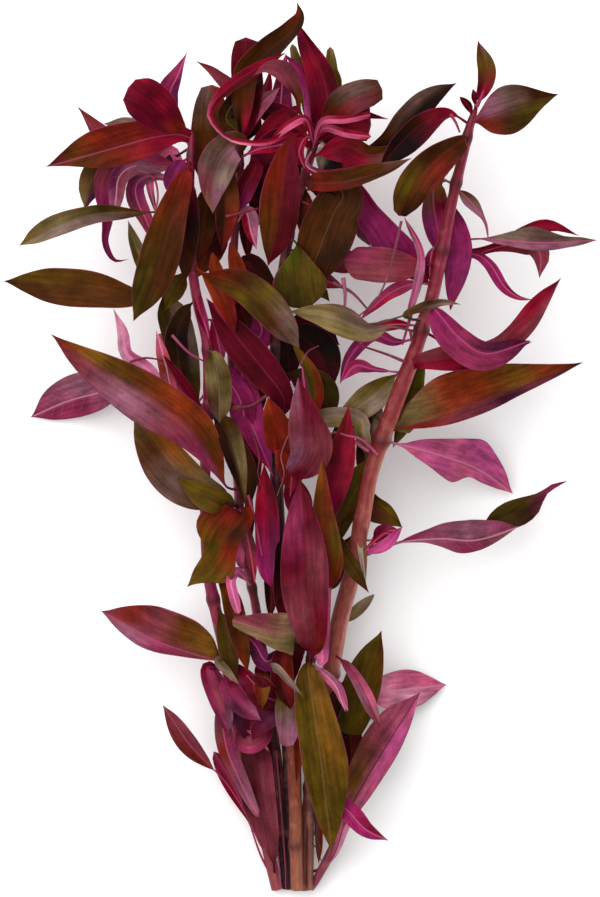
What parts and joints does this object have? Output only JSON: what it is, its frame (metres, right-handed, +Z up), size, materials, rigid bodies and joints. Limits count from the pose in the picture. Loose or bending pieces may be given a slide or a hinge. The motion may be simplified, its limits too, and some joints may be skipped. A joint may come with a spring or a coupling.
{
  "type": "creeping primrose-willow",
  "caption": "Cut bunch of leafy red aquarium stems with narrow pointed leaves, lying on its side with the cut ends together",
  "frame": {"origin": "on the surface that the bunch lies on, below the middle of its length and width", "axes": "+Z up, +Y along the bunch from the cut ends to the leaf tips, +X across it to the right"},
  "size_m": [0.1671, 0.25, 0.0592],
  "materials": {
    "stem": "smooth fleshy stem skin, faintly glossy",
    "leaf_brown": "leaf upper face, thin and faintly glossy",
    "leaf_olive": "leaf upper face, olive green, faintly glossy",
    "leaf_magenta": "leaf underside, thin and satin"
  },
  "bodies": {
    "root": {"leaf_left_01": "leaf_brown", "leaf_left_02": "leaf_brown", "leaf_left_03": "leaf_brown", "leaf_left_04": "leaf_magenta", "leaf_left_05": "leaf_olive", "leaf_left_06": "leaf_brown", "leaf_left_07": "leaf_brown", "leaf_left_08": "leaf_olive", "leaf_left_09": "leaf_olive", "leaf_left_10": "leaf_brown", "leaf_left_11": "leaf_brown", "leaf_left_12": "leaf_magenta", "leaf_left_13": "leaf_brown", "leaf_left_14": "leaf_brown", "leaf_left_15": "leaf_brown", "leaf_left_16": "leaf_magenta", "leaf_left_17": "leaf_olive", "leaf_inner_01": "leaf_brown", "leaf_inner_02": "leaf_brown", "leaf_inner_03": "leaf_brown", "leaf_inner_04": "leaf_olive", "leaf_inner_05": "leaf_olive", "leaf_inner_06": "leaf_brown", "leaf_centre_01": "leaf_brown", "leaf_centre_02": "leaf_magenta", "leaf_centre_03": "leaf_brown", "leaf_centre_04": "leaf_brown", "leaf_centre_05": "leaf_brown", "leaf_centre_06": "leaf_brown", "leaf_centre_07": "leaf_olive", "leaf_centre_08": "leaf_brown", "leaf_centre_09": "leaf_brown", "leaf_centre_10": "leaf_olive", "leaf_centre_11": "leaf_magenta", "leaf_centre_12": "leaf_brown", "leaf_centre_13": "leaf_olive", "leaf_short_01": "leaf_brown", "leaf_short_02": "leaf_magenta", "leaf_short_03": "leaf_brown", "leaf_short_04": "leaf_olive", "leaf_right_01": "leaf_brown", "leaf_right_02": "leaf_olive", "leaf_right_03": "leaf_brown", "leaf_right_04": "leaf_olive", "leaf_right_05": "leaf_magenta", "leaf_right_06": "leaf_magenta", "leaf_right_07": "leaf_magenta", "leaf_right_08": "leaf_brown", "leaf_right_09": "leaf_brown", "leaf_right_10": "leaf_magenta", "leaf_right_11": "leaf_magenta", "leaf_right_12": "leaf_magenta", "leaf_right_13": "leaf_magenta", "leaf_right_14": "leaf_magenta", "leaf_under_top": "leaf_brown", "stem_left": "stem", "stem_inner": "stem", "stem_centre": "stem", "stem_short": "stem", "stem_right": "stem"}
  },
  "joints": []
}
